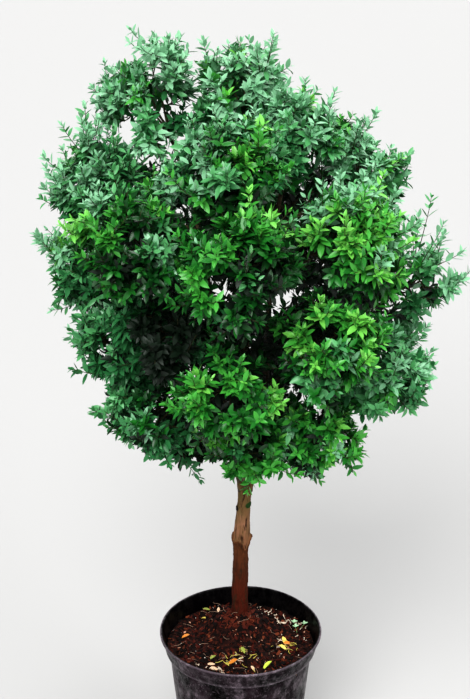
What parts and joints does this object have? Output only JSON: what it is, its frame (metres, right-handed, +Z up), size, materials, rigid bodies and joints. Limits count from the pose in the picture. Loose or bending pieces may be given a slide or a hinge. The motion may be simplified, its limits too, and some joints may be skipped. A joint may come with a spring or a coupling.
{
  "type": "potted standard box topiary",
  "caption": "Box plant trained as a half-standard: a loose round crown of small glossy leaves on one clear stem, in a round black plastic nursery pot of bark compost.",
  "frame": {"origin": "centre of the pot's flat underside", "axes": "+Z up along the stem, -Y to the front, +X to the right seen from the front"},
  "size_m": [0.5739, 0.5526, 1.0716],
  "materials": {
    "pot_plastic": "thin black moulded plastic, scuffed gloss",
    "compost": "damp dark bark compost",
    "bark": "rough brown bark, paler and barer above the scar",
    "young_bark": "smooth greenish tan bark",
    "leaf_fresh": "glossy bright green leaves",
    "leaf_cool": "glossy bluish green leaves",
    "leaf_deep": "dark green inner leaves"
  },
  "bodies": {
    "root": {"pot": "pot_plastic", "compost": "compost", "trunk": "bark", "bough_back": "young_bark", "bough_back_left": "young_bark", "bough_back_right": "young_bark", "bough_foot_back": "young_bark", "bough_foot_front": "young_bark", "bough_foot_left": "young_bark", "bough_foot_right": "young_bark", "bough_front": "young_bark", "bough_front_left": "young_bark", "bough_front_right": "young_bark", "bough_left": "young_bark", "bough_low_back_left": "young_bark", "bough_low_back_right": "young_bark", "bough_low_front": "young_bark", "bough_low_left": "young_bark", "bough_low_right": "young_bark", "bough_middle_left": "young_bark", "bough_middle_right": "young_bark", "bough_right": "young_bark", "bough_top": "young_bark", "bough_top_front": "young_bark", "bough_top_left": "young_bark", "bough_top_right": "young_bark", "bough_under_left": "young_bark", "bough_upper_back": "young_bark", "bough_upper_back_right": "young_bark", "bough_upper_left": "young_bark", "bough_upper_right": "young_bark", "foliage_back": "leaf_deep", "foliage_back_left": "leaf_deep", "foliage_back_right": "leaf_deep", "foliage_foot_back": "leaf_deep", "foliage_foot_front": "leaf_fresh", "foliage_foot_left": "leaf_cool", "foliage_foot_right": "leaf_fresh", "foliage_front": "leaf_fresh", "foliage_front_left": "leaf_fresh", "foliage_front_right": "leaf_fresh", "foliage_left": "leaf_cool", "foliage_low_back_left": "leaf_deep", "foliage_low_back_right": "leaf_deep", "foliage_low_front": "leaf_fresh", "foliage_low_left": "leaf_cool", "foliage_low_right": "leaf_cool", "foliage_middle_left": "leaf_deep", "foliage_middle_right": "leaf_fresh", "foliage_right": "leaf_cool", "foliage_top": "leaf_cool", "foliage_top_front": "leaf_fresh", "foliage_top_left": "leaf_cool", "foliage_top_right": "leaf_cool", "foliage_under_left": "leaf_deep", "foliage_upper_back": "leaf_cool", "foliage_upper_back_right": "leaf_deep", "foliage_upper_left": "leaf_cool", "foliage_upper_right": "leaf_cool"}
  },
  "joints": []
}
